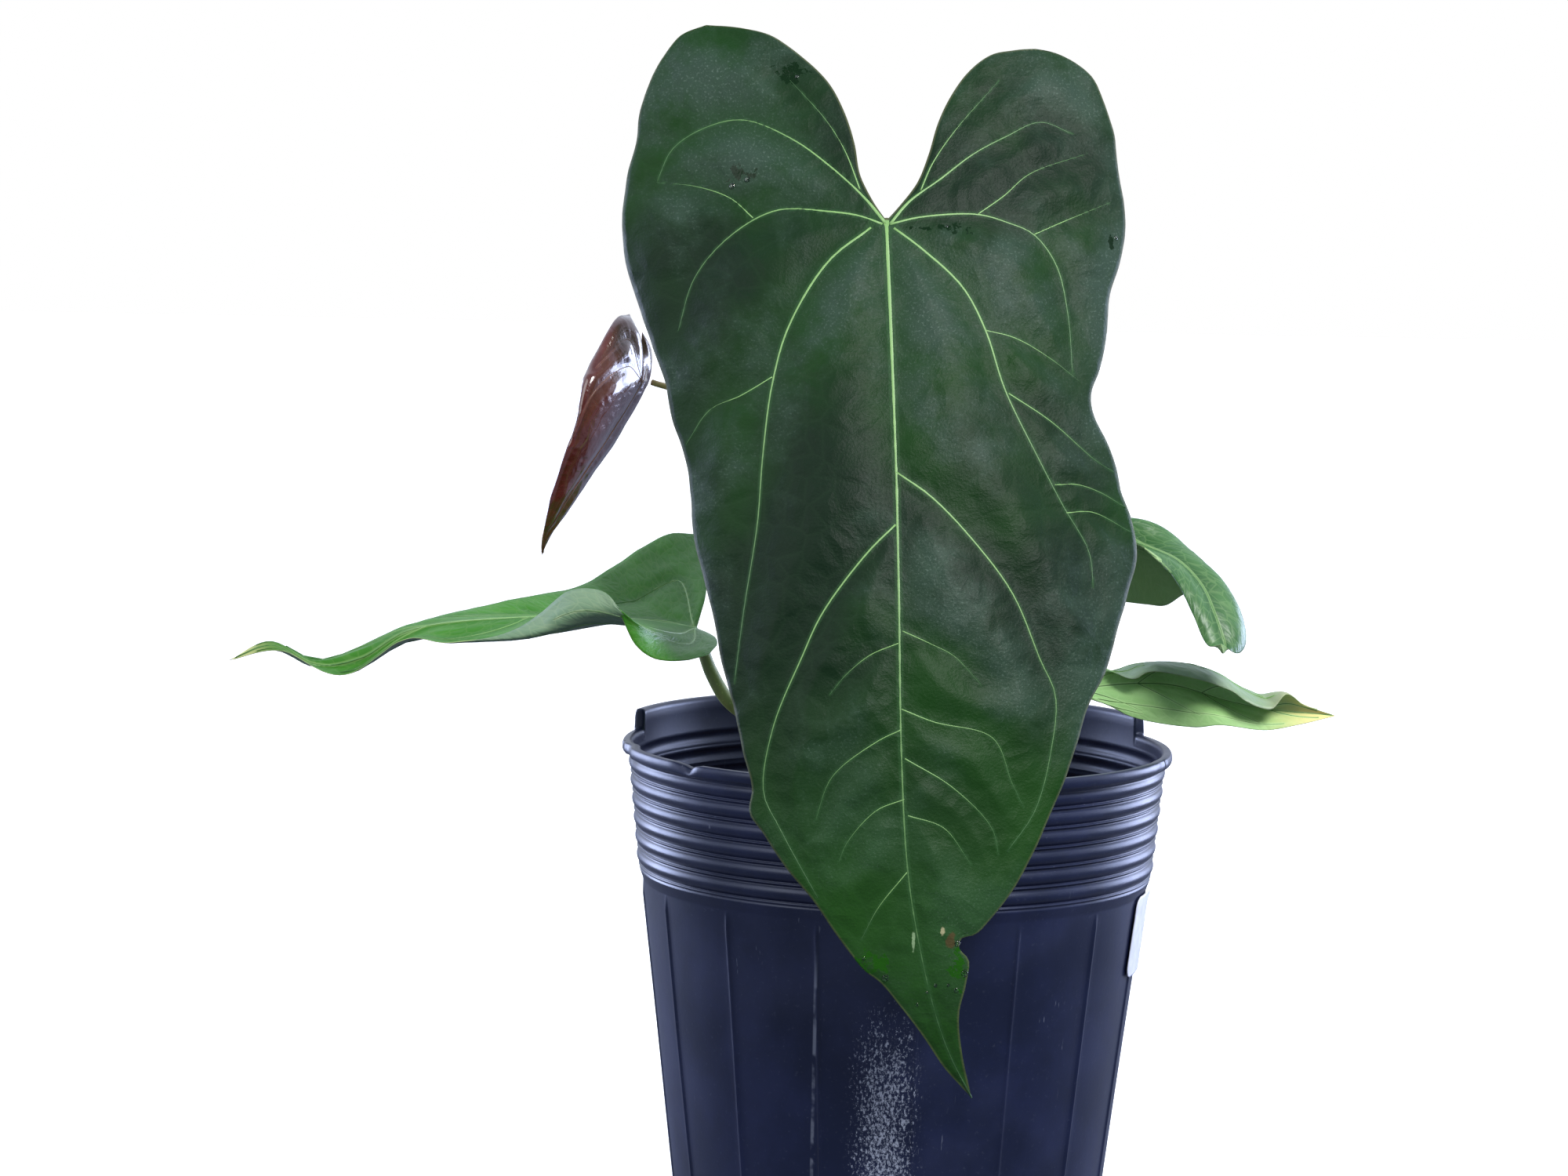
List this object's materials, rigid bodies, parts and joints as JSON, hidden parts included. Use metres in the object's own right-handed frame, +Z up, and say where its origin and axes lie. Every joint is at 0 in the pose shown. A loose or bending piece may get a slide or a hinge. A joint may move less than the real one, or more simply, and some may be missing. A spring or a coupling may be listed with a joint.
{
  "type": "potted plant",
  "caption": "Potted foliage plant with a large heart-shaped velvet leaf, smaller curled leaves and a ribbed round nursery pot.",
  "frame": {"origin": "centre of the pot's flat underside", "axes": "+Z up; the large leaf faces -Y; +X to the viewer's right when the large leaf faces the viewer"},
  "size_m": [0.2942, 0.1653, 0.3538],
  "materials": {
    "pot_plastic": "satin blue-black moulded nursery plastic with dust",
    "label_paper": "blank pale sticker",
    "bark_mix": "coarse damp bark mix",
    "bark": "rough bark",
    "pumice": "pitted pale stone",
    "old_stem": "ringed corky stem",
    "root_skin": "pale velvety root",
    "dry_scale": "dry papery sheath",
    "petiole_green": "satin olive green stalk",
    "petiole_red": "satin reddish stalk",
    "velvet_green": "dark velvety leaf with pale veins",
    "fresh_green": "fresh satin green leaf",
    "young_red": "glossy red-brown young leaf",
    "arching_green": "satin mid-green leaf",
    "pale_green": "matte pale green leaf underside"
  },
  "bodies": {
    "root": {"pot_shell": "pot_plastic", "pot_label": "label_paper", "potting_mix": "bark_mix", "stem_crown": "old_stem", "petiole_main": "petiole_green", "petiole_left": "petiole_green", "petiole_young": "petiole_red", "petiole_right_upper": "petiole_green", "petiole_right_lower": "petiole_green", "leaf_blade_main": "velvet_green", "leaf_blade_left": "fresh_green", "leaf_blade_young": "young_red", "leaf_blade_right_upper": "arching_green", "leaf_blade_right_lower": "pale_green", "cataphyll_1": "dry_scale", "cataphyll_2": "dry_scale", "cataphyll_3": "dry_scale", "aerial_root_1": "root_skin", "aerial_root_2": "root_skin", "aerial_root_3": "root_skin", "bark_chip_1": "bark", "bark_chip_2": "bark", "bark_chip_3": "bark", "bark_chip_4": "bark", "bark_chip_5": "bark", "bark_chip_6": "bark", "bark_chip_7": "bark", "bark_chip_8": "bark", "pumice_grain_1": "pumice", "pumice_grain_2": "pumice", "pumice_grain_3": "pumice", "pumice_grain_4": "pumice", "pumice_grain_5": "pumice"}
  },
  "joints": []
}
